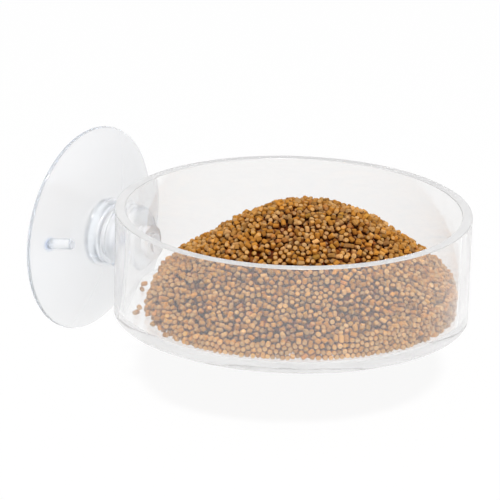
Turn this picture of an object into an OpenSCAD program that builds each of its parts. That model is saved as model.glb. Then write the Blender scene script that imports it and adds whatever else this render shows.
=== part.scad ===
// Clear round feeding dish that hangs on a pane of glass by a suction cup.
// Millimetres, +Z up. The origin is the centre of the dish's underside,
// and the suction cup lies along +Y, with its lip flat on the glass.

/* [Dish] */
// Outside diameter of the dish
dish_d = 70; // [56:1:90]
// Height of the dish from its underside to its rim
dish_h = 21; // [18:0.5:32]
// Thickness of the tube that makes the wall
wall_t = 2; // [1.5:0.1:3.5]
// Thickness of the disc that makes the base
base_t = 2; // [1.5:0.1:3]
// Polished bevel on the rim's two edges and the base's lower edge
edge_break = 0.35; // [0.15:0.05:0.6]

/* [Cup stud] */
// Height of the stud's axis above the underside
stud_z = 7.1; // [6:0.1:10]
// Diameter of the stud's shank
stud_d = 5.6; // [5:0.1:6.4]
// Diameter of the spigot that is cemented into the wall
spigot_d = 4; // [3:0.1:4.6]
// Diameter of the flange that seats on the wall
flange_d = 7; // [6.6:0.1:9.5]
// Thickness of the flange on the stud's axis
flange_t = 1.4; // [1:0.1:2]
// Clear length from the wall to the mouth of the cup's neck
standoff = 3.1; // [2.5:0.1:6]
// Radius of each round rib on the stud
rib_r = 0.7; // [0.4:0.05:0.8]
// Number of ribs on the stud
rib_count = 3; // [1:1:3]
// Distance from one rib to the next
rib_pitch = 1.9; // [1.8:0.05:2.1]
// Distance from the last rib to the stud's tip
tip_len = 1.2; // [1:0.1:1.4]
// Bevel on the stud's tip
tip_bevel = 0.6; // [0.3:0.1:0.8]
// Film of cement round the spigot and under the flange
cement_gap = 0.05; // [0.02:0.01:0.1]

/* [Suction cup] */
// Diameter of the lip
lip_d = 42; // [36:0.5:50]
// Thickness of the lip at its edge
lip_t = 0.7; // [0.4:0.1:1.2]
// Width of the flat sealing land on the lip
lip_land = 0.8; // [0.5:0.1:1.5]
// Depth of the hollow behind the lip
hollow_h = 2.3; // [1.6:0.1:2.6]
// Height of the dome's crown above the glass
crown_h = 4.3; // [4:0.1:6]
// Length of the neck from the dome's crown to its mouth
neck_len = 7.1; // [6.8:0.1:10]
// Diameter of the boss next to the dome
boss_d = 13; // [12:0.1:15]
// Rounding of the boss's edge
boss_round = 0.8; // [0.4:0.1:1.2]
// Fillet between the boss and the dome
boss_fillet = 0.8; // [0.5:0.1:2.5]
// Diameter of the waist between the boss and the bead
waist_d = 11.2; // [10.4:0.1:11.8]
// Length of the waist
waist_len = 0.9; // [0.6:0.1:1.4]
// Diameter of the bead round the neck's mouth
bead_d = 13.4; // [12.4:0.1:15]
// Length of the bead
bead_len = 3.4; // [3:0.1:4]
// Rounding of the bead's edges
bead_round = 1.3; // [0.6:0.1:1.5]
// Wall left between the neck's socket and the hollow
socket_end_t = 1.9; // [1.4:0.1:2.2]
// Running clearance between the stud and the neck's socket
swivel_gap = 0.05; // [0.02:0.01:0.1]
// Clearance past the stud's tip
tip_gap = 0.2; // [0.1:0.05:0.4]
// Diameter of the release peg
peg_d = 2.2; // [1.6:0.1:3]
// Length of the release peg above the dome
peg_len = 5.4; // [3:0.1:8]
// Distance of the release peg from the cup's axis
peg_offset = 16; // [13:0.5:17]
// Turn of the release peg above the level of the cup's axis, in degrees
peg_turn = 4; // [0:1:90]
// Lean of the release peg upwards from the cup's axis, in degrees
peg_lean = 11; // [0:1:20]
// Bevel on the release peg's tip
peg_bevel = 0.4; // [0.2:0.1:0.6]

/* [Food] */
// Height of the heap's edge above the base
heap_edge_h = 4.3; // [3:0.1:6]
// Slope of the heap's flank, in degrees
heap_slope = 35; // [28:1:38]
// Radius of the heap's round crown
heap_crown_r = 27.5; // [16:0.5:34]
// Gap between the heap and the wall on the heap's free side
heap_free_gap = 4.5; // [1:0.1:7]
// Least gap between the heap and the wall
heap_wall_gap = 0.4; // [0.3:0.1:1]
// Gap between the heap and the base
heap_base_gap = 0.1; // [0.05:0.05:0.3]
// Offset of the heap from the dish's axis, along X
heap_x = 1.3; // [-3:0.1:3]
// Offset of the heap from the dish's axis, along Y
heap_y = -2.8; // [-3:0.1:3]
// Distance between the rows of points that give the heap its grain
grain_pitch = 1.25; // [1.1:0.05:2.5]
// Depth of the hollows between the pellets on the heap
grain_depth = 0.8; // [0.3:0.1:1]

/* [Hidden] */
$fn = 96;
acrylic_colour = [0.84, 0.92, 0.95, 0.4];
vinyl_colour = [0.74, 0.86, 0.93, 0.6];
food_colour = [0.60, 0.40, 0.20];
overrun = 1;
fillet_sink = 0.1;
peg_sink = 0.1;
knob_spread = 0.35;
grain_wander = 0.4;

dish_r = dish_d / 2;
inner_r = dish_r - wall_t;
lip_r = lip_d / 2;

// Stations along the cup's axis, measured from the dish's axis
neck_mouth_y = dish_r + standoff;
glass_y = neck_mouth_y + neck_len + crown_h;
stud_reach = neck_len + crown_h - hollow_h - socket_end_t - tip_gap;
stud_tip_y = neck_mouth_y + stud_reach;
rib_ys = [for (i = [0 : rib_count - 1]) stud_tip_y - tip_len - i * rib_pitch];

// Stations along the cup's axis, measured from the glass
mouth_h = crown_h + neck_len;
bead_h = mouth_h - bead_len;
waist_h = bead_h - waist_len;

// Radius of the sphere whose cap of the given rise closes a circle of radius a
function cap_radius(a, rise) = (a * a + rise * rise) / (2 * rise);

// Height of the dome above the glass at the distance r from its axis
function dome_height(r) = crown_h - dome_sphere_r + sqrt(dome_sphere_r * dome_sphere_r - r * r);

dome_sphere_r = cap_radius(lip_r, crown_h - lip_t);
hollow_sphere_r = cap_radius(lip_r - lip_land, hollow_h);

// The heap's flank is tangent to its round crown, and the wall cuts it off where it would reach further
heap_offset = norm([heap_x, heap_y]);
heap_limit_r = inner_r - heap_wall_gap;
heap_r = inner_r - heap_free_gap + heap_offset;
heap_floor_z = base_t + heap_base_gap;
heap_tangent_r = heap_crown_r * sin(heap_slope);
heap_tangent_z = heap_floor_z + heap_edge_h + (heap_r - heap_tangent_r) * tan(heap_slope);
heap_crown_z = heap_tangent_z - heap_crown_r * cos(heap_slope);
heap_crown_len = heap_crown_r * heap_slope * PI / 180;
grain_rows = round(section_len(heap_r) / grain_pitch);

// Distance from the heap's axis to the end of its flank, at the heap's own radius or at the wall
function heap_reach(turn) =
    let (along = heap_x * cos(turn) + heap_y * sin(turn))
    min(heap_r, sqrt(pow(heap_limit_r, 2) - pow(heap_offset, 2) + pow(along, 2)) - along);

// Lengths of the heap's section where its flank ends at the given reach
function flank_len(reach) = (reach - heap_tangent_r) / cos(heap_slope);
function edge_len(reach) = heap_edge_h + (heap_r - reach) * tan(heap_slope);
function section_len(reach) = heap_crown_len + flank_len(reach) + edge_len(reach);

// Radius, height and tilt of the heap's surface at the distance s from its top
function heap_station(s, reach) =
    s < heap_crown_len ?
        let (tilt = s / heap_crown_r * 180 / PI)
        [heap_crown_r * sin(tilt), heap_crown_z + heap_crown_r * cos(tilt), tilt] :
    s < heap_crown_len + flank_len(reach) ?
        let (run = s - heap_crown_len)
        [heap_tangent_r + run * cos(heap_slope), heap_tangent_z - run * sin(heap_slope), heap_slope] :
    [reach, heap_floor_z + section_len(reach) - s, 90];

// A repeatable number from 0 to 1 for two whole numbers
function chance(k, j) = let (wave = 43.7 * sin(97 * k + 151 * j + 13 * k * j)) wave - floor(wave);

// Point j of the 6 k points in row k: every third one is a pellet's top, with six hollows round it
function grain_point(k, j) =
    let (
        turn = k == 0 ? 0 : 60 * (j + grain_wander * (chance(k, j) - 0.5)) / k,
        reach = heap_reach(turn),
        station = heap_station(section_len(reach) * k / grain_rows, reach),
        is_top = k == 0 || (k + j % k) % 3 == 0,
        spread = knob_spread * chance(j, k),
        depth = grain_depth * (is_top ? spread : 1 - spread),
        r = station[0] - depth * sin(station[2]),
        z = station[1] - depth * cos(station[2])
    )
    [heap_x + r * cos(turn), heap_y + r * sin(turn), z];

// Place of that point in the list of all points
function grain_index(k, j) = k == 0 ? 0 : 1 + 3 * k * (k - 1) + j % (6 * k);

// Places children with their Z along the cup's axis, from the dish towards the glass
module on_cup_axis() {
    translate([0, 0, stud_z]) rotate([-90, 0, 0]) children();
}

// Places children with their Z along the cup's axis, from the glass towards the dish
module from_glass() {
    translate([0, glass_y, stud_z]) rotate([90, 0, 0]) children();
}

// Half section of a round band from z0 to z1 with rounded edges
module round_band(r, z0, z1, edge) {
    translate([0, z0]) square([r - edge, z1 - z0]);
    translate([0, z0 + edge]) square([r, z1 - z0 - 2 * edge]);
    for (z = [z0 + edge, z1 - edge]) {
        translate([r - edge, z]) circle(r = edge);
    }
}

// Shank and ribs of the stud, grown by a clearance to cut the neck's socket
module ribbed_shank(from_y, to_y, grow) {
    translate([0, 0, from_y]) cylinder(h = to_y - from_y, d = stud_d + 2 * grow);
    for (y = rib_ys) {
        rotate_extrude() translate([stud_d / 2, y]) circle(r = rib_r + grow);
    }
}

// Clear tube with a bevelled rim, drilled for the stud's spigot
module dish_wall() {
    color(acrylic_colour)
    difference() {
        rotate_extrude() polygon([
            [inner_r, base_t],
            [dish_r, base_t],
            [dish_r, dish_h - edge_break],
            [dish_r - edge_break, dish_h],
            [inner_r + edge_break, dish_h],
            [inner_r, dish_h - edge_break]
        ]);
        on_cup_axis() cylinder(h = dish_r + overrun, d = spigot_d + 2 * cement_gap);
    }
}

// Clear disc under the tube, cemented to it all round
module dish_base() {
    color(acrylic_colour)
    rotate_extrude() polygon([
        [0, 0],
        [dish_r - edge_break, 0],
        [dish_r, edge_break],
        [dish_r, base_t],
        [0, base_t]
    ]);
}

// Turned clear stud: spigot through the wall, saddle flange, ribbed shank
module cup_stud() {
    color(acrylic_colour) {
        difference() {
            on_cup_axis() cylinder(h = dish_r + flange_t, d = spigot_d);
            cylinder(h = dish_h, r = inner_r);
        }
        difference() {
            on_cup_axis() {
                translate([0, 0, inner_r]) cylinder(h = wall_t + flange_t, d = flange_d);
                ribbed_shank(inner_r, stud_tip_y - tip_bevel, 0);
                translate([0, 0, stud_tip_y - tip_bevel])
                    cylinder(h = tip_bevel, d1 = stud_d, d2 = stud_d - 2 * tip_bevel);
            }
            cylinder(h = dish_h, r = dish_r + cement_gap);
        }
    }
}

// Shallow dome that ends in the cup's thin lip
module cup_dome() {
    intersection() {
        translate([0, 0, crown_h - dome_sphere_r]) sphere(r = dome_sphere_r);
        cylinder(h = crown_h, r = lip_r);
    }
}

// Spool-shaped neck: boss with a fillet, waist, and the bead round the mouth
module cup_neck() {
    boss_r = boss_d / 2;
    fillet_h = dome_height(boss_r + boss_fillet) - fillet_sink;
    rotate_extrude() round_band(boss_r, 0, waist_h, boss_round);
    rotate_extrude() translate([boss_r - overrun, fillet_h]) difference() {
        square([boss_fillet + overrun, boss_fillet]);
        translate([boss_fillet + overrun, boss_fillet]) circle(r = boss_fillet);
    }
    cylinder(h = mouth_h - bead_round, d = waist_d);
    rotate_extrude() round_band(bead_d / 2, bead_h, mouth_h, bead_round);
}

// Peg that a finger pulls to let air under the lip
module release_peg() {
    root_h = dome_height(peg_offset + peg_d / 2) - peg_d / 2 * sin(peg_lean) - peg_sink;
    straight = dome_height(peg_offset) + peg_len - peg_bevel - root_h;
    rotate([0, 0, -peg_turn]) translate([-peg_offset, 0, root_h]) rotate([-peg_lean, 0, 0]) {
        cylinder(h = straight, d = peg_d);
        translate([0, 0, straight]) cylinder(h = peg_bevel, d1 = peg_d, d2 = peg_d - 2 * peg_bevel);
    }
}

// Soft clear cup in one moulding: dome, neck with a socket for the stud, release peg
module suction_cup() {
    color(vinyl_colour)
    difference() {
        from_glass() {
            cup_dome();
            cup_neck();
            release_peg();
        }
        from_glass() translate([0, 0, hollow_h - hollow_sphere_r]) sphere(r = hollow_sphere_r);
        on_cup_axis() ribbed_shank(neck_mouth_y - overrun, stud_tip_y + tip_gap, swivel_gap);
    }
}

// Loose heap of pellets, as one mound with a grain of pellets that leans against the wall on one side
module food_heap() {
    points = [
        for (k = [0 : grain_rows])
        for (j = [0 : max(0, 6 * k - 1)])
        grain_point(k, j)
    ];
    outward = [
        for (k = [1 : grain_rows])
        for (side = [0 : 5])
        for (i = [0 : k - 1])
        [
            grain_index(k - 1, side * (k - 1) + i),
            grain_index(k, side * k + i + 1),
            grain_index(k, side * k + i)
        ]
    ];
    inward = [
        for (k = [2 : grain_rows])
        for (side = [0 : 5])
        for (i = [0 : k - 2])
        [
            grain_index(k - 1, side * (k - 1) + i),
            grain_index(k - 1, side * (k - 1) + i + 1),
            grain_index(k, side * k + i + 1)
        ]
    ];
    underside = [for (j = [0 : 6 * grain_rows - 1]) grain_index(grain_rows, j)];
    color(food_colour)
    polyhedron(points, concat(outward, inward, [underside]));
}

dish_wall();
dish_base();
cup_stud();
suction_cup();
food_heap();
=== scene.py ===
import math

import bmesh
import bpy
import numpy as np
from mathutils import Matrix, Quaternion, Vector
from mathutils.kdtree import KDTree


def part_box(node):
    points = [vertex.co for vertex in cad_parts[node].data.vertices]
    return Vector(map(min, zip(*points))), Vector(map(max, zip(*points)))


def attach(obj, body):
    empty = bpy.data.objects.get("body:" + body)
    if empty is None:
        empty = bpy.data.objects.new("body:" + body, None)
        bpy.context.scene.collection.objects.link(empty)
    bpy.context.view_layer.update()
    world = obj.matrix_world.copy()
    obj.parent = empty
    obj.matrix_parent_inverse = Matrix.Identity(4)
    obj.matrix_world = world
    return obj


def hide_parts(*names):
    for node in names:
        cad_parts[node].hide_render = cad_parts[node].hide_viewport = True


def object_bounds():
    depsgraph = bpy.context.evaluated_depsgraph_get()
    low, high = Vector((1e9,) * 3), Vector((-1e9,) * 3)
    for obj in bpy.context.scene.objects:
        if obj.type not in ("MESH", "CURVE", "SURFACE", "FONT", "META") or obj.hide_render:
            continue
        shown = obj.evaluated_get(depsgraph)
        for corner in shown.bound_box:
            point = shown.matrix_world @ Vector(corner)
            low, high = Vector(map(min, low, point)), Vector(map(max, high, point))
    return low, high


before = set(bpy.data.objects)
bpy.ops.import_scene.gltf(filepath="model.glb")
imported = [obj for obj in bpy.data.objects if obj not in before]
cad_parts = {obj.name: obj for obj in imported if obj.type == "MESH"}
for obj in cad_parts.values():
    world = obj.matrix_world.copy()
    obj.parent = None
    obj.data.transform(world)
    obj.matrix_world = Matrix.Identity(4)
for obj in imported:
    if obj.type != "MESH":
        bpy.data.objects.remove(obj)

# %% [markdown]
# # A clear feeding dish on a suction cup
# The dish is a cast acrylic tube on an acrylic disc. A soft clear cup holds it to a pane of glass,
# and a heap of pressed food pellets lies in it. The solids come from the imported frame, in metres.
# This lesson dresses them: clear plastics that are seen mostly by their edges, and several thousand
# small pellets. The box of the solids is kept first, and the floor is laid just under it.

cad_low, cad_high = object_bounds()
MM = 0.001
print("solids reach from", tuple(cad_low), "to", tuple(cad_high))

# %% [markdown]
# ## The camera
# A long lens looks down on the dish from its front left, a little rolled. It could be placed by a
# matrix, but an angle round the dish, a height angle, a roll and an aiming point are easier to read.

# %% Camera
camera_azimuth = math.radians(-56.87)
camera_elevation = math.radians(19.08)
camera_roll = math.radians(1.46)
camera_distance = 0.700
camera_aim = Vector((-4.1, 7.35, 12.2)) * MM
camera_lens = 256.2
camera_sensor = 36.0
nearest_seen = 0.01
farthest_seen = 50.0

camera_data = bpy.data.cameras.new("camera")
camera_data.sensor_width = camera_sensor
camera_data.lens = camera_lens
camera_data.clip_start = nearest_seen
camera_data.clip_end = farthest_seen
camera = bpy.data.objects.new("camera", camera_data)
bpy.context.scene.collection.objects.link(camera)
towards_camera = Vector((
    math.sin(camera_azimuth) * math.cos(camera_elevation),
    -math.cos(camera_azimuth) * math.cos(camera_elevation),
    math.sin(camera_elevation),
))
camera.location = camera_aim + towards_camera * camera_distance
camera.rotation_mode = "QUATERNION"
level_look = (-towards_camera).to_track_quat("-Z", "Y")
camera.rotation_quaternion = level_look @ Quaternion((0, 0, 1), camera_roll)
bpy.context.scene.camera = camera
print("camera at", tuple(camera.location))

# %% [markdown]
# ## Studio
# Clear plastic shows what lies round it, so the room is white wherever a camera, mirrored or
# refracted ray meets it. Matt things are lit by a lower, even level and one broad lamp, so that a
# colour comes out about as it is written. A ray through the cup's neck crosses many faces, so rays
# may turn more often than by default. The floor lies below the cup and keeps a soft shadow.

# %% White room
white_level = 1.0
soft_level = 0.22

scene = bpy.context.scene
scene.view_settings.view_transform = "Standard"


def seen_clearly(nodes, links):
    """A socket that is 1 for camera, mirrored and refracted rays, and 0 for the rest."""
    path = nodes.new("ShaderNodeLightPath")
    either = nodes.new("ShaderNodeMath")
    either.operation = "MAXIMUM"
    links.new(path.outputs["Is Camera Ray"], either.inputs[0])
    links.new(path.outputs["Is Glossy Ray"], either.inputs[1])
    any_of_three = nodes.new("ShaderNodeMath")
    any_of_three.operation = "MAXIMUM"
    links.new(either.outputs[0], any_of_three.inputs[0])
    links.new(path.outputs["Is Transmission Ray"], any_of_three.inputs[1])
    return any_of_three.outputs[0]


world = bpy.data.worlds.new("white_room")
world.use_nodes = True
scene.world = world
world_nodes = world.node_tree.nodes
world_links = world.node_tree.links
room = world_nodes["Background"]
room.inputs["Color"].default_value = (1, 1, 1, 1)
level = world_nodes.new("ShaderNodeMapRange")
level.inputs["To Min"].default_value = soft_level
level.inputs["To Max"].default_value = white_level
world_links.new(seen_clearly(world_nodes, world_links), level.inputs["Value"])
world_links.new(level.outputs["Result"], room.inputs["Strength"])
print("room level", soft_level, "and", white_level)

# %% Length of rays
clear_bounces = 32

scene.cycles.max_bounces = clear_bounces
scene.cycles.glossy_bounces = clear_bounces
scene.cycles.transmission_bounces = clear_bounces
print("a ray may turn", clear_bounces, "times in clear plastic")

# %% Lamp
lamp_size = 0.5
lamp_power = 95.0
lamp_place = Vector((-1.20, -1.10, 2.55))

lamp_data = bpy.data.lights.new("broad_lamp", "AREA")
lamp_data.shape = "DISK"
lamp_data.size = lamp_size
lamp_data.energy = lamp_power
lamp = bpy.data.objects.new("broad_lamp", lamp_data)
lamp.location = lamp_place
lamp.rotation_mode = "QUATERNION"
lamp.rotation_quaternion = (-lamp_place).to_track_quat("-Z", "Y")
scene.collection.objects.link(lamp)
print("lamp of", lamp_power, "W")

# %% Floor
floor_half = 4.0
floor_drop = 1.0 * MM

floor_bm = bmesh.new()
floor_place = Matrix.Translation((0, 0, cad_low.z - floor_drop))
bmesh.ops.create_grid(floor_bm, x_segments=2, y_segments=2, size=floor_half, matrix=floor_place)
floor_mesh = bpy.data.meshes.new("floor")
floor_bm.to_mesh(floor_mesh)
floor_bm.free()
floor = bpy.data.objects.new("floor", floor_mesh)
scene.collection.objects.link(floor)
print("floor at", cad_low.z - floor_drop)

# %% Floor paint
floor_grey = 0.94
floor_white_share = 0.93

floor_paint = bpy.data.materials.new("floor_paint")
floor_paint.use_nodes = True
floor_nodes = floor_paint.node_tree.nodes
floor_links = floor_paint.node_tree.links
floor_shader = floor_nodes["Principled BSDF"]
floor_shader.inputs["Base Color"].default_value = (floor_grey, floor_grey, floor_grey, 1)
floor_shader.inputs["Roughness"].default_value = 1.0
floor_shader.inputs["Specular IOR Level"].default_value = 0.0
floor_white = floor_nodes.new("ShaderNodeEmission")
floor_white.inputs["Strength"].default_value = white_level
white_share = floor_nodes.new("ShaderNodeMath")
white_share.operation = "MULTIPLY"
white_share.inputs[1].default_value = floor_white_share
floor_links.new(seen_clearly(floor_nodes, floor_links), white_share.inputs[0])
floor_mix = floor_nodes.new("ShaderNodeMixShader")
floor_links.new(white_share.outputs[0], floor_mix.inputs["Fac"])
floor_links.new(floor_shader.outputs["BSDF"], floor_mix.inputs[1])
floor_links.new(floor_white.outputs["Emission"], floor_mix.inputs[2])
floor_links.new(floor_mix.outputs["Shader"], floor_nodes["Material Output"].inputs["Surface"])
floor_mesh.materials.append(floor_paint)
print("floor paint of grey", floor_grey)

# %% [markdown]
# ## Shared effects
# All the clear plastics carry the same kind of marks: cloudy wipes and a slight ripple. The pellets
# and the dark core under them share a pressed grain. Each effect could be drawn anew in every material,
# but as a node group it is built once, and each material sets its own values on it.

# %% Marks on clear plastic
wipes_fineness = 90.0
wipes_detail = 4.0
ripple_fineness = 260.0
ripple_detail = 1.0


def new_group(name, inputs, outputs):
    """An empty shader node group with float or vector sockets, and its input and output nodes."""
    group = bpy.data.node_groups.new(name, "ShaderNodeTree")
    for socket_name, kind in inputs:
        group.interface.new_socket(socket_name, in_out="INPUT", socket_type=kind)
    for socket_name, kind in outputs:
        group.interface.new_socket(socket_name, in_out="OUTPUT", socket_type=kind)
    return group, group.nodes.new("NodeGroupInput"), group.nodes.new("NodeGroupOutput")


marks_group, marks_in, marks_out = new_group(
    "plastic_marks",
    [("Vector", "NodeSocketVector"), ("Polish", "NodeSocketFloat"), ("Wipes", "NodeSocketFloat")],
    [("Roughness", "NodeSocketFloat"), ("Height", "NodeSocketFloat")],
)
wipes = marks_group.nodes.new("ShaderNodeTexNoise")
wipes.inputs["Scale"].default_value = wipes_fineness
wipes.inputs["Detail"].default_value = wipes_detail
marks_group.links.new(marks_in.outputs["Vector"], wipes.inputs["Vector"])
wiped = marks_group.nodes.new("ShaderNodeMath")
wiped.operation = "MULTIPLY_ADD"
marks_group.links.new(wipes.outputs["Fac"], wiped.inputs[0])
marks_group.links.new(marks_in.outputs["Wipes"], wiped.inputs[1])
marks_group.links.new(marks_in.outputs["Polish"], wiped.inputs[2])
marks_group.links.new(wiped.outputs[0], marks_out.inputs["Roughness"])
ripple = marks_group.nodes.new("ShaderNodeTexNoise")
ripple.inputs["Scale"].default_value = ripple_fineness
ripple.inputs["Detail"].default_value = ripple_detail
marks_group.links.new(marks_in.outputs["Vector"], ripple.inputs["Vector"])
marks_group.links.new(ripple.outputs["Fac"], marks_out.inputs["Height"])
print("group", marks_group.name)

# %% Pressed grain
speck_detail = 3.0

grain_group, grain_in, grain_out = new_group(
    "pressed_grain",
    [("Vector", "NodeSocketVector"), ("Fineness", "NodeSocketFloat")],
    [("Speckle", "NodeSocketFloat"), ("Height", "NodeSocketFloat")],
)
specks = grain_group.nodes.new("ShaderNodeTexNoise")
specks.inputs["Detail"].default_value = speck_detail
grain_group.links.new(grain_in.outputs["Vector"], specks.inputs["Vector"])
grain_group.links.new(grain_in.outputs["Fineness"], specks.inputs["Scale"])
grain_group.links.new(specks.outputs["Fac"], grain_out.inputs["Speckle"])
pits = grain_group.nodes.new("ShaderNodeTexVoronoi")
grain_group.links.new(grain_in.outputs["Vector"], pits.inputs["Vector"])
grain_group.links.new(grain_in.outputs["Fineness"], pits.inputs["Scale"])
grain_group.links.new(pits.outputs["Distance"], grain_out.inputs["Height"])
print("group", grain_group.name)

# %% [markdown]
# ## Clear finishes
# Cast acrylic lets nearly all light through, but a dish of this kind has a faint white haze, which
# lies like a veil over the food behind the wall. A scattering volume would be true to that but slow
# and noisy, so a share of plain diffuse white beside the clear share gives the veil. The base is cut
# from clearer sheet. The rim was sawn and is still satin, so its share of haze is larger, and that
# haze is grey as painted shade, for the grey that a clear edge shows.
# Cement bends light just as acrylic does, so the joint of wall and base is nearly unseen: a bend of
# about 1 on the film's two faces lets a ray go straight across. Soft vinyl is milkier, and absorption
# inside it makes long light paths faintly blue.


# %% Clear plastics
def clear_plastic(name, tint, clear_share, bend):
    """A smooth clear plastic, whose share that isn't clear is a plain haze."""
    material = bpy.data.materials.new(name)
    material.use_nodes = True
    shader = material.node_tree.nodes["Principled BSDF"]
    shader.inputs["Base Color"].default_value = (*tint, 1)
    shader.inputs["IOR"].default_value = bend
    shader.inputs["Transmission Weight"].default_value = clear_share
    shader.inputs["Roughness"].default_value = 0.0
    return material


def marked(material, polish, wipes_depth, ripple_depth):
    """Gives a clear plastic its wipes and its ripple."""
    nodes = material.node_tree.nodes
    links = material.node_tree.links
    shader = nodes["Principled BSDF"]
    place = nodes.new("ShaderNodeTexCoord")
    marks = nodes.new("ShaderNodeGroup")
    marks.node_tree = marks_group
    marks.inputs["Polish"].default_value = polish
    marks.inputs["Wipes"].default_value = wipes_depth
    links.new(place.outputs["Object"], marks.inputs["Vector"])
    links.new(marks.outputs["Roughness"], shader.inputs["Roughness"])
    bump = nodes.new("ShaderNodeBump")
    bump.inputs["Strength"].default_value = 1.0
    bump.inputs["Distance"].default_value = ripple_depth
    links.new(marks.outputs["Height"], bump.inputs["Height"])
    links.new(bump.outputs["Normal"], shader.inputs["Normal"])
    return material


print("a clear plastic can now be mixed and marked")

# %% Plastics of the dish and the cup
acrylic_bend = 1.49
vinyl_bend = 1.53
cement_bend = 1.001

acrylic = clear_plastic("acrylic", tint=(0.995, 0.995, 0.995), clear_share=0.936, bend=acrylic_bend)
marked(acrylic, polish=0.005, wipes_depth=0.02, ripple_depth=0.004 * MM)
sheet_acrylic = clear_plastic("acrylic_sheet", tint=(0.97, 0.97, 0.97), clear_share=0.985,
                              bend=acrylic_bend)
marked(sheet_acrylic, polish=0.005, wipes_depth=0.02, ripple_depth=0.004 * MM)
# The rim's satin haze is real; its grey tint is painted shade.
sawn_shaded_acrylic = clear_plastic("acrylic_sawn_shaded", tint=(0.78, 0.78, 0.785), clear_share=0.35,
                             bend=acrylic_bend)
marked(sawn_shaded_acrylic, polish=0.22, wipes_depth=0.06, ripple_depth=0.001 * MM)
stud_plastic = clear_plastic("stud_plastic", tint=(0.95, 0.95, 0.96), clear_share=0.70,
                             bend=acrylic_bend)
marked(stud_plastic, polish=0.06, wipes_depth=0.08, ripple_depth=0.006 * MM)
cement = clear_plastic("acrylic_cement", tint=(1.0, 1.0, 1.0), clear_share=1.0, bend=cement_bend)
vinyl = clear_plastic("vinyl", tint=(0.97, 0.972, 0.976), clear_share=0.72, bend=vinyl_bend)
marked(vinyl, polish=0.03, wipes_depth=0.06, ripple_depth=0.012 * MM)
print(len(bpy.data.materials), "materials so far")

# %% Inside of the vinyl
vinyl_body_tint = (0.72, 0.82, 0.92, 1)
vinyl_density = 30.0

vinyl_nodes = vinyl.node_tree.nodes
vinyl_links = vinyl.node_tree.links
vinyl_inside = vinyl_nodes.new("ShaderNodeVolumeAbsorption")
vinyl_inside.inputs["Color"].default_value = vinyl_body_tint
vinyl_inside.inputs["Density"].default_value = vinyl_density
vinyl_links.new(vinyl_inside.outputs["Volume"], vinyl_nodes["Material Output"].inputs["Volume"])
print("vinyl absorbs with density", vinyl_density)

# %% [markdown]
# ## Food finish
# Dry pressed food is matt. Each pellet has a tone of its own, its cut ends are paler than its skin,
# and specks and shallow pits show the meal that it was pressed from. A material for every tone would
# be many, so the tone is an attribute of the mesh, with painted shade among the pellets in it, and so
# are the cut ends and the darker middle of each end.

# %% Pressed food
food_roughness = 0.7
food_sheen = 0.12
speck_depth = 0.5
end_colour = (0.67, 0.46, 0.24, 1)
end_share = 0.35
end_middle_darkening = 0.15


def pressed_food(name, fineness, pit_depth):
    """A dry pressed food: its own colour for each pellet, with painted shade among the pellets, paler
    cut ends, specks and shallow pits.
    """
    material = bpy.data.materials.new(name)
    material.use_nodes = True
    nodes = material.node_tree.nodes
    links = material.node_tree.links
    shader = nodes["Principled BSDF"]
    shader.inputs["Roughness"].default_value = food_roughness
    shader.inputs["Specular IOR Level"].default_value = food_sheen
    place = nodes.new("ShaderNodeTexCoord")
    grain = nodes.new("ShaderNodeGroup")
    grain.node_tree = grain_group
    grain.inputs["Fineness"].default_value = fineness
    links.new(place.outputs["Object"], grain.inputs["Vector"])

    def attribute(attribute_name, output):
        """A socket that reads an attribute of the mesh."""
        node = nodes.new("ShaderNodeAttribute")
        node.attribute_name = attribute_name
        return node.outputs[output]

    def scaled(value, gain, start):
        """A socket with the start plus the value times the gain."""
        node = nodes.new("ShaderNodeMath")
        node.operation = "MULTIPLY_ADD"
        node.inputs[1].default_value = gain
        node.inputs[2].default_value = start
        links.new(value, node.inputs[0])
        return node.outputs[0]

    def dimmed(colour, share):
        """A socket with that share of the colour."""
        node = nodes.new("ShaderNodeVectorMath")
        node.operation = "SCALE"
        links.new(colour, node.inputs[0])
        links.new(share, node.inputs["Scale"])
        return node.outputs[0]

    # The attribute holds each point's colour with painted shade among the pellets.
    colour = attribute("food_colour", "Color")
    colour = dimmed(colour, scaled(grain.outputs["Speckle"], speck_depth, 1 - speck_depth / 2))
    ends = nodes.new("ShaderNodeMix")
    ends.data_type = "RGBA"
    ends.inputs["B"].default_value = end_colour
    links.new(colour, ends.inputs["A"])
    links.new(scaled(attribute("cut_end", "Fac"), end_share, 0.0), ends.inputs["Factor"])
    # The middle of each cut end, in its dimple, is made darker.
    colour = dimmed(ends.outputs["Result"], scaled(attribute("end_middle", "Fac"), -end_middle_darkening, 1.0))
    links.new(colour, shader.inputs["Base Color"])
    bump = nodes.new("ShaderNodeBump")
    bump.inputs["Distance"].default_value = pit_depth
    links.new(grain.outputs["Height"], bump.inputs["Height"])
    links.new(bump.outputs["Normal"], shader.inputs["Normal"])
    return material


pellet_food = pressed_food("pellet_food", fineness=2500.0, pit_depth=0.04 * MM)
core_food = pressed_food("core_food", fineness=900.0, pit_depth=0.3 * MM)
print("foods:", pellet_food.name, core_food.name)

# %% [markdown]
# ## Turned shapes
# The dish and the cup are round, so each starts as half a section. The corners of the section are
# rounded while it is still a line, and one full spin makes the solid. A lathe works the same way.

# %% Turning helper
turn_steps = 160
merge_distance = 1e-7


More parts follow.
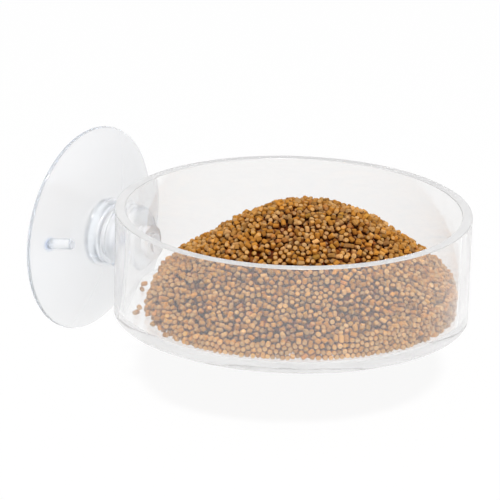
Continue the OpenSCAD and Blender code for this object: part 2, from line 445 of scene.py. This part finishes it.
def turned(outline, closed=False, corner_segments=4):
    """A solid spun about Z from an outline of (radius, height, corner rounding), as a bmesh."""
    bm = bmesh.new()
    line = [bm.verts.new((r, 0, h)) for r, h, rounding in outline]
    pairs = list(zip(line, line[1:]))
    if closed:
        pairs.append((line[-1], line[0]))
    for a, b in pairs:
        bm.edges.new((a, b))
    for corner, (r, h, rounding) in zip(line, outline):
        if rounding > 0:
            bmesh.ops.bevel(bm, geom=[corner], offset=rounding, offset_type="OFFSET",
                            segments=corner_segments, profile=0.5, affect="VERTICES", material=-1)
    section = list(bm.verts) + list(bm.edges)
    bmesh.ops.spin(bm, geom=section, cent=(0, 0, 0), axis=(0, 0, 1), angle=2 * math.pi,
                   steps=turn_steps, use_merge=True, use_duplicate=False)
    bmesh.ops.remove_doubles(bm, verts=bm.verts, dist=merge_distance)
    bmesh.ops.recalc_face_normals(bm, faces=bm.faces)
    return bm


print("turning in", turn_steps, "steps")

# %% [markdown]
# ## Finishing a piece
# A finished piece is smooth but for its sharp edges. A small bevel would bend the smooth shading
# across a whole wall, so a Weighted Normal modifier lets the large faces set it. Light from a lamp
# only finds its way through refracting plastic by chance, and the food would look as dark as behind
# a grey wall. So clear pieces let lamp light and matt reflections pass, as the real dish nearly does.

# %% Finishing helpers
sharp_angle = math.radians(32)


def finished(name, bm, material):
    """An object at the origin with that mesh and finish, smooth but for its sharp edges."""
    mesh = bpy.data.meshes.new(name)
    bm.to_mesh(mesh)
    bm.free()
    mesh.shade_smooth()
    mesh.set_sharp_from_angle(angle=sharp_angle)
    mesh.materials.append(material)
    piece = bpy.data.objects.new(name, mesh)
    scene.collection.objects.link(piece)
    return piece


def refinished(piece, faces, material):
    """Gives some faces of a piece a finish of their own."""
    piece.data.materials.append(material)
    for face in faces:
        face.material_index = len(piece.data.materials) - 1


def evenly_shaded(piece):
    """Lets the large faces set the shading, so that a small bevel doesn't bend it across a wall."""
    even = piece.modifiers.new("even_shading", "WEIGHTED_NORMAL")
    even.keep_sharp = True


def clear_to_light(piece):
    """Lets lamp light and matt reflections pass a clear piece as if it weren't there."""
    piece.visible_shadow = False
    piece.visible_diffuse = False


print("edges over", round(math.degrees(sharp_angle)), "degrees stay sharp")


# %% Drilling and joining
def joined(piece, tool_bm, operation):
    """Cuts a tool's mesh from the piece, or adds it, and keeps the result as the piece's mesh."""
    tool_mesh = bpy.data.meshes.new("tool")
    tool_bm.to_mesh(tool_mesh)
    tool_bm.free()
    tool_mesh.shade_smooth()
    tool = bpy.data.objects.new("tool", tool_mesh)
    scene.collection.objects.link(tool)
    change = piece.modifiers.new("change", "BOOLEAN")
    change.operation = operation
    change.solver = "EXACT"
    change.object = tool
    ready = piece.evaluated_get(bpy.context.evaluated_depsgraph_get())
    mesh = bpy.data.meshes.new_from_object(ready)
    mesh.set_sharp_from_angle(angle=sharp_angle)
    piece.modifiers.remove(change)
    old_mesh = piece.data
    piece.data = mesh
    mesh.name = piece.name
    bpy.data.objects.remove(tool)
    bpy.data.meshes.remove(tool_mesh)
    bpy.data.meshes.remove(old_mesh)
    return piece


print("a tool can now be cut from a piece or joined to it")

# %% [markdown]
# ## The dish
# The tube is sawn square, its rim is left satin with a small bevel, and it is cemented on the disc.
# The film of cement is a real gap in the mesh, because two clear bodies with a shared face would
# confuse a ray, and both faces at the film get the cement's finish. One hole is drilled through the
# wall for the stud's spigot. Rings just above and below the hole keep the Boolean's long faces short.

# %% Sizes of the dish
wall_t = 2.0 * MM
edge_break = 0.15 * MM
cement_film = 0.02 * MM
spigot_hole_d = 4.1 * MM
hole_margin = 0.6 * MM
drill_sides = 48
drill_len = 4 * wall_t
level_share = 0.99

wall_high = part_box("dish_wall")[1]
base_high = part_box("dish_base")[1]
cup_low, cup_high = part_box("suction_cup")
dish_r = wall_high.x
dish_h = wall_high.z
base_t = base_high.z
inner_r = dish_r - wall_t
cup_axis_z = (cup_low.z + cup_high.z) / 2
hole_band = [cup_axis_z + side * (spigot_hole_d / 2 + hole_margin) for side in (-1, 1)]
print("dish of radius", dish_r, "and height", dish_h)

# %% Tube
tube = finished("dish_tube", turned([
    (inner_r, base_t + cement_film, 0),
    (dish_r, base_t + cement_film, 0),
    (dish_r, hole_band[0], 0),
    (dish_r, hole_band[1], 0),
    (dish_r, dish_h, edge_break),
    (inner_r, dish_h, edge_break),
    (inner_r, hole_band[1], 0),
    (inner_r, hole_band[0], 0),
], closed=True), acrylic)
drill = bmesh.new()
drill_place = Matrix.Translation((0, dish_r, cup_axis_z)) @ Matrix.Rotation(math.pi / 2, 4, "X")
bmesh.ops.create_cone(drill, cap_ends=True, segments=drill_sides, radius1=spigot_hole_d / 2,
                      radius2=spigot_hole_d / 2, depth=drill_len, matrix=drill_place)
joined(tube, drill, "DIFFERENCE")
tube_rim = [f for f in tube.data.polygons if f.center.z > dish_h - edge_break]
tube_foot = [f for f in tube.data.polygons if f.normal.z < -level_share and f.center.z < hole_band[0]]
refinished(tube, tube_rim, sawn_shaded_acrylic)
refinished(tube, tube_foot, cement)
evenly_shaded(tube)
clear_to_light(tube)
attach(tube, "dish")
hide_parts("dish_wall")
print("tube", len(tube.data.polygons), "faces")

# %% Disc
disc = finished("dish_disc", turned([
    (0, 0, 0),
    (dish_r, 0, edge_break),
    (dish_r, base_t, 0),
    (inner_r, base_t, 0),
    (0, base_t, 0),
]), sheet_acrylic)
disc_seat = [f for f in disc.data.polygons if f.normal.z > level_share and f.center.xy.length > inner_r]
refinished(disc, disc_seat, cement)
evenly_shaded(disc)
clear_to_light(disc)
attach(disc, "dish")
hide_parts("dish_base")
print("disc", len(disc.data.polygons), "faces")

# %% [markdown]
# ## The stud
# The ribbed stud sits in the wall's hole and carries the cup, and it only shows through the cup's
# neck. Its solid already has the right shape, so it isn't modelled again and only gets its finish.

# %% Stud
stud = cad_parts["cup_stud"]
stud.data.materials.clear()
stud.data.materials.append(stud_plastic)
clear_to_light(stud)
print("stud keeps its solid of", len(stud.data.polygons), "faces")

# %% [markdown]
# ## The suction cup
# One soft moulding: a shallow dome that ends in a thin lip, a spool-shaped neck with a socket for
# the ribbed stud, and a small peg to lift the lip. The dome and the hollow are parts of large
# spheres, so a short formula gives their line, and the corners are rounded as on the dish.

# %% Dome and hollow
glass_y = cup_high.y
lip_r = (cup_high.z - cup_low.z) / 2
mouth_h = cup_high.y - cup_low.y
lip_t = 0.7 * MM
lip_land = 0.8 * MM
hollow_h = 2.3 * MM
crown_h = 4.3 * MM


def cap_radius(a, rise):
    """Radius of the sphere whose cap of that rise closes a circle of radius a."""
    return (a * a + rise * rise) / (2 * rise)


def cap_height(r, a, rise):
    """Height of that cap above the circle's plane at the distance r from the axis."""
    sphere_r = cap_radius(a, rise)
    return math.sqrt(sphere_r * sphere_r - r * r) - sphere_r + rise


def dome_h(r):
    """Height of the dome over the glass."""
    return lip_t + cap_height(r, lip_r, crown_h - lip_t)


def hollow_line_h(r):
    """Height of the hollow over the glass."""
    return cap_height(r, lip_r - lip_land, hollow_h)


def steps_between(start, end, count):
    """Even steps from start to end, without these two."""
    return [start + (end - start) * i / count for i in range(1, count)]


print("dome rises to", dome_h(0), "and its hollow to", hollow_line_h(0))

# %% Socket for the ribs
socket_r = 2.85 * MM
socket_end_h = 4.2 * MM
socket_round = 0.3 * MM
rib_bulge = 0.70 * MM
rib_half = 0.74 * MM
first_rib_h = 5.6 * MM
rib_pitch = 1.9 * MM
rib_count = 3
rib_arc_steps = 8

socket_line = [(0, socket_end_h, 0), (socket_r, socket_end_h, socket_round)]
for i in range(rib_count):
    middle_h = first_rib_h + i * rib_pitch
    socket_line.append((socket_r, middle_h - rib_half, 0))
    for turn in steps_between(-math.pi / 2, math.pi / 2, rib_arc_steps):
        rib_r = socket_r + rib_bulge * math.cos(turn)
        socket_line.append((rib_r, middle_h + rib_half * math.sin(turn), 0))
    socket_line.append((socket_r, middle_h + rib_half, 0))
print("socket with", rib_count, "grooves")

# %% Cup section
boss_r = 6.5 * MM
boss_round = 0.8 * MM
boss_fillet = 0.8 * MM
waist_r = 5.6 * MM
waist_len = 0.9 * MM
bead_r = 6.7 * MM
bead_len = 3.4 * MM
bead_round = 1.3 * MM
mouth_round = 0.2 * MM
lip_outer_round = 0.25 * MM
lip_glass_round = 0.15 * MM
arc_steps = 14

bead_h = mouth_h - bead_len
waist_h = bead_h - waist_len
cup_outline = socket_line + [
    (socket_r, mouth_h, mouth_round),
    (bead_r, mouth_h, bead_round),
    (bead_r, bead_h, bead_round),
    (waist_r, bead_h, 0),
    (waist_r, waist_h, 0),
    (boss_r, waist_h, boss_round),
    (boss_r, dome_h(boss_r), boss_fillet),
]
cup_outline += [(r, dome_h(r), 0) for r in steps_between(boss_r + boss_fillet, lip_r, arc_steps)]
cup_outline += [
    (lip_r, lip_t, lip_outer_round),
    (lip_r, 0, lip_glass_round),
    (lip_r - lip_land, 0, 0),
]
cup_outline += [(r, hollow_line_h(r), 0) for r in steps_between(lip_r - lip_land, 0, arc_steps)]
cup_outline += [(0, hollow_h, 0)]
print("cup section of", len(cup_outline), "points")

# %% Cup and peg
peg_r = 1.1 * MM
peg_len = 5.4 * MM
peg_offset = 16.0 * MM
peg_turn = math.radians(4)
peg_lean = math.radians(11)
peg_sink = 0.1 * MM
peg_bevel = 0.4 * MM

on_glass = Matrix.Translation((0, glass_y, cup_axis_z)) @ Matrix.Rotation(math.pi / 2, 4, "X")
cup = finished("suction_cup_moulding", turned(cup_outline), vinyl)
peg_root_h = dome_h(peg_offset + peg_r) - peg_r * math.sin(peg_lean) - peg_sink
peg_full_len = dome_h(peg_offset) + peg_len - peg_root_h
peg_bm = turned([
    (0, 0, 0),
    (peg_r, 0, 0),
    (peg_r, peg_full_len, peg_bevel),
    (0, peg_full_len, 0),
])
peg_place = (
    Matrix.Rotation(-peg_turn, 4, "Z")
    @ Matrix.Translation((-peg_offset, 0, peg_root_h))
    @ Matrix.Rotation(-peg_lean, 4, "X")
)
bmesh.ops.transform(peg_bm, matrix=peg_place, verts=peg_bm.verts)
joined(cup, peg_bm, "UNION")
cup.data.transform(on_glass)
evenly_shaded(cup)
clear_to_light(cup)
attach(cup, "cup")
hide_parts("suction_cup")
print("cup", len(cup.data.polygons), "faces")

# %% [markdown]
# ## The peg's root
# Where the peg grows out of the dome the vinyl is thickest, and it looks bluest there. A second
# material would end in a hard line, so the distance from the root, measured in Object coordinates,
# blends a bluer tint into the vinyl.

# %% Shade at the peg's root
root_tint = (0.58, 0.67, 0.86, 1)
root_reach = (0.9 * MM, 1.8 * MM)

root_middle = on_glass @ peg_place.translation
vinyl_shader = vinyl_nodes["Principled BSDF"]
vinyl_place = vinyl_nodes.new("ShaderNodeTexCoord")
root_gap = vinyl_nodes.new("ShaderNodeVectorMath")
root_gap.operation = "DISTANCE"
root_gap.inputs[1].default_value = root_middle
vinyl_links.new(vinyl_place.outputs["Object"], root_gap.inputs[0])
root_mask = vinyl_nodes.new("ShaderNodeMapRange")
root_mask.inputs["From Min"].default_value = root_reach[1]
root_mask.inputs["From Max"].default_value = root_reach[0]
vinyl_links.new(root_gap.outputs["Value"], root_mask.inputs["Value"])
root_mix = vinyl_nodes.new("ShaderNodeMix")
root_mix.data_type = "RGBA"
root_mix.inputs["A"].default_value = vinyl_shader.inputs["Base Color"].default_value
root_mix.inputs["B"].default_value = root_tint
vinyl_links.new(root_mask.outputs["Result"], root_mix.inputs["Factor"])
vinyl_links.new(root_mix.outputs["Result"], vinyl_shader.inputs["Base Color"])
print("peg's root at", tuple(root_middle))

# %% [markdown]
# ## The heap of food
# Poured food makes a mound: a rounded crown, flanks at the angle at which pellets stop rolling, and a
# short steep edge at its foot. Seen from the camera, it lies against the wall at the front and on the
# right, and ends free on the base on the left and at the back. The sizes repeat those of the heap's
# solid, and one function gives the height at any place, so that every later step can ask it.

# %% Heap shape
heap_low, heap_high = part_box("food_heap")
heap_x = 1.3 * MM
heap_y = -2.8 * MM
heap_free_gap = 4.5 * MM
heap_edge_h = 4.3 * MM
heap_slope = math.radians(35)
heap_crown_r = 27.5 * MM
heap_r = inner_r - heap_free_gap + math.hypot(heap_x, heap_y)
front = towards_camera.xy.normalized()
front_spread = 4.5 * MM
free_angle = math.radians(75)
free_slope = math.tan(free_angle)

tangent_r = heap_crown_r * math.sin(heap_slope)
edge_z = heap_low.z + heap_edge_h
tangent_z = edge_z + (heap_r - tangent_r) * math.tan(heap_slope)
crown_z = tangent_z - heap_crown_r * math.cos(heap_slope)


def heap_at(x, y):
    """Distance from the heap's axis, reach of the heap's foot on that side, and the heap's height."""
    dx = x - heap_x
    dy = y - heap_y
    r = np.maximum(np.hypot(dx, dy), merge_distance)
    ahead = (dx * front.x + dy * front.y) / r
    foot = heap_r + front_spread * np.maximum(ahead, 0)
    crown = crown_z + np.sqrt(np.maximum(heap_crown_r ** 2 - r ** 2, 0))
    flank = edge_z + (heap_r - r) * math.tan(heap_slope)
    free_edge = base_t + (foot - r) * free_slope
    return r, foot, np.minimum(np.where(r < tangent_r, crown, flank), free_edge)


print("heap rises to", heap_at(heap_x, heap_y)[2])

# %% [markdown]
# ## Pellets at random places
# Rods of pressed food are cut to about their own width and tumble into the heap. Thousands of rigid
# bodies would take minutes to fall, so the pellets start at random places, each turned at random.
# Only the outer shell of the heap is filled, because nobody sees its core.

# %% Shell of the heap
shell_depth = 2.4 * MM
floor_depth = 1.3 * MM


def core_excess(x, y, z):
    """How deep a place lies under the shell's top, side and floor: all positive inside the core."""
    r, foot, height = heap_at(x, y)
    under_top = height - shell_depth - z
    inside_edge = foot - shell_depth - r
    inside_wall = inner_r - shell_depth - np.hypot(x, y)
    over_floor = z - base_t - floor_depth
    return under_top, np.minimum(inside_edge, inside_wall), over_floor


print("shell of", shell_depth, "over the core")

# %% Random starts
heap_seed = 7
pellet_d = 1.00 * MM
pellet_lens = (0.85 * MM, 1.40 * MM)
packing = 0.52
trials = 60000

rng = np.random.default_rng(heap_seed)
trial_box_low = np.array([-inner_r, -inner_r, base_t])
trial_box_high = np.array([inner_r, inner_r, heap_high.z])
trial = rng.uniform(trial_box_low, trial_box_high, (trials, 3))
in_dish = np.hypot(trial[:, 0], trial[:, 1]) < inner_r
in_heap = in_dish & (trial[:, 2] < heap_at(trial[:, 0], trial[:, 1])[2])
in_core = np.min(core_excess(*trial.T), axis=0) > 0
shell = trial[in_heap & ~in_core]
shell_volume = np.prod(trial_box_high - trial_box_low) * len(shell) / trials
mean_volume = math.pi / 4 * pellet_d ** 2 * sum(pellet_lens) / 2
pellet_count = int(packing * shell_volume / mean_volume)
places = shell[:pellet_count].copy()
axes = rng.normal(size=(pellet_count, 3))
axes /= np.linalg.norm(axes, axis=1, keepdims=True)
lengths = rng.uniform(*pellet_lens, pellet_count)
print(len(shell), "trials in the shell,", pellet_count, "pellets")

# %% [markdown]
# ## Pellets that touch
# A pellet is treated as a rod with round ends: two of them touch where their axes come nearest. A
# tree of places finds the few neighbours of each pellet, and one formula for all pairs at once finds
# the nearest points, which is far quicker than a loop over pairs.

# %% Neighbours
contact_gap = 0.12 * MM
axis_inset = 0.35 * pellet_d
parallel_guard = 1e-6
half_axes = lengths / 2 - axis_inset


def near_pairs():
    """Pairs of pellets that are near enough to touch."""
    tree = KDTree(len(places))
    for i, place in enumerate(places):
        tree.insert(place, i)
    tree.balance()
    pairs = [
        (i, j)
        for i, place in enumerate(places)
        for spot, j, gap in tree.find_range(place, pellet_d + contact_gap + 2 * half_axes.max())
        if j > i
    ]
    return np.array(pairs).T


def nearest_on_axes(a, b):
    """Where the axes of pellets a and b come nearest, measured along each from its middle."""
    between = places[a] - places[b]
    slant = np.sum(axes[a] * axes[b], axis=1)
    on_a = np.sum(axes[a] * between, axis=1)
    on_b = np.sum(axes[b] * between, axis=1)
    first = (slant * on_b - on_a) / np.maximum(1 - slant ** 2, parallel_guard)
    first = np.clip(first, -half_axes[a], half_axes[a])
    second = np.clip(slant * first + on_b, -half_axes[b], half_axes[b])
    first = np.clip(slant * second - on_a, -half_axes[a], half_axes[a])
    return first[:, None], second[:, None]


print("longest half axis", half_axes.max())

# %% [markdown]
# ## Bounds of the heap
# The wall, the base and the heap's own form hold the pellets in, and pellets near the wall are drawn
# against it. Poured food doesn't end in a smooth line: its free foot, and its edge along the wall on
# the camera's right, have clumps with gaps between them. Two sines give such clumps without a table.

# %% Holding the pellets in
wall_gap = 0.05 * MM
wall_reach = 0.8 * MM
wall_draw = 0.15
roughness_of_top = (-0.8 * MM, 0.1 * MM)
loose_side = Vector((-front.y, front.x))
loose_gap = 1.0 * MM
loose_focus = 3
foot_gap = 1.8 * MM
clumps_round = 70
clump_height = 0.5 * MM
tops = rng.uniform(*roughness_of_top, pellet_count)


def ragged(x, y, z):
    """A share from 0 to 1 that changes from clump to clump along the heap's edge."""
    return 0.5 + 0.5 * np.sin(clumps_round * np.arctan2(y, x)) * np.sin(z / clump_height)


def reach_along(share):
    """Half the size of each pellet in a direction that has that share of its axis."""
    share = np.clip(share, -1, 1)
    return np.abs(share) * lengths / 2 + np.sqrt(1 - share ** 2) * pellet_d / 2


def held_in_heap(spots):
    """The places moved against the wall, under the heap's top, and out of its core."""
    x, y, z = spots.T
    out = np.hypot(x, y)
    loose = np.maximum(x * loose_side.x + y * loose_side.y, 0) / out
    limit = inner_r - wall_gap - reach_along((axes[:, 0] * x + axes[:, 1] * y) / out)
    limit = limit - loose_gap * ragged(x, y, z) * loose ** loose_focus
    drawn = out + np.where(limit - out < wall_reach, wall_draw * (limit - out), 0)
    x, y = x * np.minimum(drawn, limit) / out, y * np.minimum(drawn, limit) / out
    under_top, inside_edge, over_floor = core_excess(x, y, z)
    least = np.minimum(np.minimum(under_top, inside_edge), over_floor)
    in_core = least > 0
    z = z + np.where(in_core & (least == under_top), under_top, 0)
    z = z - np.where(in_core & (least == over_floor), over_floor, 0)
    r, foot, _ = heap_at(x, y)
    spread = 1 + np.where(in_core & (least == inside_edge), inside_edge / r, 0)
    free_limit = foot - foot_gap * ragged(x, y, z) - (z - base_t) / free_slope
    spread = spread * np.minimum(free_limit / (r * spread), 1)
    x = heap_x + (x - heap_x) * spread
    y = heap_y + (y - heap_y) * spread
    rise = reach_along(axes[:, 2])
    z = np.minimum(z, heap_at(x, y)[2] + tops - rise * math.cos(heap_slope))
    z = np.maximum(z, base_t + wall_gap + rise)
    return np.stack([x, y, z], axis=1)


print("edge of", clumps_round, "clumps")

# %% [markdown]
# ## Settling
# In each round every pellet is pushed and turned away from the neighbours that it overlaps, and then
# held in the heap. After some tens of rounds they fit together as poured pellets do.

# %% Push and turn apart
settle_rounds = 60
rounds_per_search = 5
push_share = 0.6
gyration_sq = 0.25 * MM ** 2
close_share = 0.9

for step in range(settle_rounds):
    if step % rounds_per_search == 0:
        a, b = near_pairs()
    along_a, along_b = nearest_on_axes(a, b)
    lever_a = along_a * axes[a]
    lever_b = along_b * axes[b]
    across = places[a] + lever_a - places[b] - lever_b
    gap = np.maximum(np.linalg.norm(across, axis=1, keepdims=True), merge_distance)
    push = across / gap * np.maximum(pellet_d + contact_gap - gap, 0) / 2
    moves = np.zeros_like(places)
    twists = np.zeros_like(places)
    np.add.at(moves, a, push)
    np.add.at(moves, b, -push)
    np.add.at(twists, a, np.cross(lever_a, push))
    np.add.at(twists, b, -np.cross(lever_b, push))
    places = held_in_heap(places + push_share * moves)
    axes = axes + np.cross(twists * push_share / gyration_sq, axes)
    axes /= np.linalg.norm(axes, axis=1, keepdims=True)
print("pairs that still overlap by a tenth:", int(np.sum(gap < close_share * pellet_d)), "of", len(gap))

# %% [markdown]
# ## Strays
# A few pellets have rolled off the heap and lie on the bare base. They are placed one by one, by an
# angle from the heap's front and a distance from the dish's axis, because chance rarely puts so few
# where they look right.

# %% Stray pellets
stray_turns = np.radians([103, 97, 88, 77, 72])
stray_r = np.array([30.6, 30.2, 28.0, 30.2, 31.2]) * MM
stray_count = len(stray_r)

stray_places = np.stack([
    stray_r * (front.x * np.cos(stray_turns) + front.y * np.sin(stray_turns)),
    stray_r * (front.y * np.cos(stray_turns) - front.x * np.sin(stray_turns)),
    np.full(stray_count, base_t + wall_gap + pellet_d / 2),
], axis=1)
stray_axes = rng.uniform(0, 2 * math.pi, stray_count)
places = np.concatenate([places, stray_places])
axes = np.concatenate([axes, np.stack([np.cos(stray_axes), np.sin(stray_axes), 0 * stray_axes], axis=1)])
lengths = np.concatenate([lengths, rng.uniform(*pellet_lens, stray_count)])
print(stray_count, "strays on the base")

# %% [markdown]
# ## One pellet
# A pellet is a short rod with eight sides, a small bevel and a dimple in each cut end. It is copied
# thousands of times, so it has only a few dozen faces. The cut ends and their middle are marked with
# attributes, which the finish reads.

# %% Pellet blank
pellet_sides = 8
pellet_bevel = 0.12 * MM
dimple_depth = 0.04 * MM
blank_len = sum(pellet_lens) / 2

blank_bm = bmesh.new()
cut_end = blank_bm.faces.layers.float.new("cut_end")
end_middle = blank_bm.verts.layers.float.new("end_middle")
bmesh.ops.create_cone(blank_bm, cap_ends=True, cap_tris=False, segments=pellet_sides,
                      radius1=pellet_d / 2, radius2=pellet_d / 2, depth=blank_len)
rims = [e for e in blank_bm.edges if any(len(f.verts) == pellet_sides for f in e.link_faces)]
bmesh.ops.bevel(blank_bm, geom=rims, offset=pellet_bevel, offset_type="OFFSET", segments=1,
                profile=0.5, affect="EDGES", material=-1)
end_faces = [f for f in blank_bm.faces if len(f.verts) == pellet_sides]
poked = bmesh.ops.poke(blank_bm, faces=end_faces)
for face in poked["faces"]:
    face[cut_end] = 1.0
for vert in poked["verts"]:
    vert[end_middle] = 1.0
    vert.co.z -= math.copysign(dimple_depth, vert.co.z)
blank = bpy.data.meshes.new("pellet_blank")
blank_bm.to_mesh(blank)
blank_bm.free()
blank.shade_smooth()
blank.set_sharp_from_angle(angle=sharp_angle)
blank_points = np.array([vert.co for vert in blank.vertices])
print("pellet of", len(blank.polygons), "faces")

# %% [markdown]
# ## Colours and shade
# Most pellets are golden brown, some are paler, and a few are redder, yellower or dark. Between
# pellets only brown light is left after many reflections. A renderer would need more bounces and
# finer grains to find that by itself, so the colour of a point also falls with its depth in the heap.

# %% Pellet colours
colour_shares = {
    (0.455, 0.193, 0.030): 0.44,
    (0.495, 0.240, 0.060): 0.32,
    (0.56, 0.305, 0.110): 0.10,
    (0.46, 0.222, 0.036): 0.06,
    (0.47, 0.190, 0.046): 0.04,
    (0.32, 0.150, 0.045): 0.04,
}
brightness_spread = 0.18
brightness_limits = (0.6, 1.4)

picks = rng.choice(len(colour_shares), len(places), p=list(colour_shares.values()))
colours = np.array(list(colour_shares))[picks]
brightness = np.clip(rng.normal(1, brightness_spread, len(places)), *brightness_limits)
colours = colours * brightness[:, None]
print("mean colour", colours.mean(axis=0))

# %% Shade among the pellets
# Painted shade: the colour falls from full at the first depth to the deep share at the second.
skin_depth = (0.3 * MM, 1.4 * MM)
top_sink = 0.2 * MM
deep_shade_share = np.array([0.28, 0.07, 0.0])


def cover(x, y, z):
    """How far a place lies inside the heap, from its top, foot, wall or floor, whichever is nearest."""
    r, foot, height = heap_at(x, y)
    under_top = height - top_sink - z
    under_free_edge = (base_t + (foot - r) * free_slope - z) * math.cos(free_angle)
    return np.min([under_top, under_free_edge, inner_r - np.hypot(x, y), z - base_t], axis=0)


def with_painted_shade(points, point_colours):
    """The colours of those points with painted shade: darker and redder the deeper they lie among other
    pellets.
    """
    lit_share = np.interp(cover(*points.T), skin_depth, (1, 0))[:, None]
    return point_colours * (deep_shade_share + (1 - deep_shade_share) * lit_share)


def keep_colour_and_shade(mesh, point_colours):
    """Keeps a colour for each point of the mesh, painted shade included, for the food's finish to read.
    """
    rows = np.column_stack([point_colours, np.ones(len(point_colours))])
    layer = mesh.attributes.new("food_colour", "FLOAT_COLOR", "POINT")
    layer.data.foreach_set("color", rows.ravel())


print("full shade from", skin_depth[1], "below the surface")

# %% [markdown]
# ## Pellet pieces
# Each pellet is the blank, stretched to its length, a little uneven in width, cut at a slant and
# turned to its axis. One object per pellet would be slow to handle, and one for all would have too
# many faces, so the heap is parted by height into a few pieces, which all ride with the food.

# %% Heap of pellets
most_in_piece = 2500
width_spread = (0.90, 1.04)
slant_spread = 0.12
widths = rng.uniform(*width_spread, (len(places), 2))
slants = rng.normal(0, slant_spread, (len(places), 2))


def pellet_piece(name, numbers):
    """One object that holds the pellets of those numbers."""
    heap_bm = bmesh.new()
    points = []
    for n in numbers:
        turn = np.array(Vector((0, 0, 1)).rotation_difference(Vector(axes[n])).to_matrix())
        shape = np.diag([*widths[n], lengths[n] / blank_len])
        shape[2, :2] = slants[n]
        points.append(blank_points @ (turn @ shape).T + places[n])
        blank.vertices.foreach_set("co", points[-1].ravel())
        heap_bm.from_mesh(blank)
    mesh = bpy.data.meshes.new(name)
    heap_bm.to_mesh(mesh)
    heap_bm.free()
    # The pellets' colours carry painted shade that deepens inside the heap.
    keep_colour_and_shade(mesh, with_painted_shade(np.concatenate(points), np.repeat(colours[numbers], len(blank_points), axis=0)))
    mesh.materials.append(pellet_food)
    piece = bpy.data.objects.new(name, mesh)
    scene.collection.objects.link(piece)
    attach(piece, "food")
    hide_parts("food_heap")
    return piece


by_height = np.argsort(places[:, 2])
piece_count = math.ceil(len(places) / most_in_piece)
for number, numbers in enumerate(np.array_split(by_height, piece_count), 1):
    made = pellet_piece(f"pellets_{number}", numbers)
    print(made.name, len(numbers), "pellets", len(made.data.polygons), "faces")

# %% [markdown]
# ## Dark core
# The shell of pellets is a few grains deep, and light would shine through its gaps into the empty
# core. A turned core fills it, and its near-black colour is painted shade: the dark deep in a heap,
# seen through the gaps. It keeps clear of the wall, where its points are drawn in towards the dish's
# axis.

# %% Dark core of painted shade under the pellets
# The core's near-black colour is painted shade, not a colour of the food.
core_painted_shade = (0.08, 0.016, 0.001)
core_sink = 1.9 * MM
core_rise = 1.2 * MM
core_edge = 2.6 * MM
core_steps = 16

core_r = heap_r - core_edge
core_line = [(0, base_t + core_rise, 0), (core_r, base_t + core_rise, 0)]
for r in steps_between(core_r, 0, core_steps) + [0]:
    core_top = float(heap_at(heap_x + r, heap_y)[2]) - core_sink
    core_line.append((r, max(base_t + core_rise, core_top), 0))
core_bm = turned(core_line)
bmesh.ops.translate(core_bm, vec=(heap_x, heap_y, 0), verts=core_bm.verts)
for vert in core_bm.verts:
    reach = vert.co.xy.length
    if reach > inner_r - core_edge:
        vert.co.xy *= (inner_r - core_edge) / reach
core = finished("painted_shade_core", core_bm, core_food)
keep_colour_and_shade(core.data, np.tile(core_painted_shade, (len(core.data.vertices), 1)))
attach(core, "food")
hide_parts("food_heap")
print("crumbs", len(core.data.polygons), "faces")
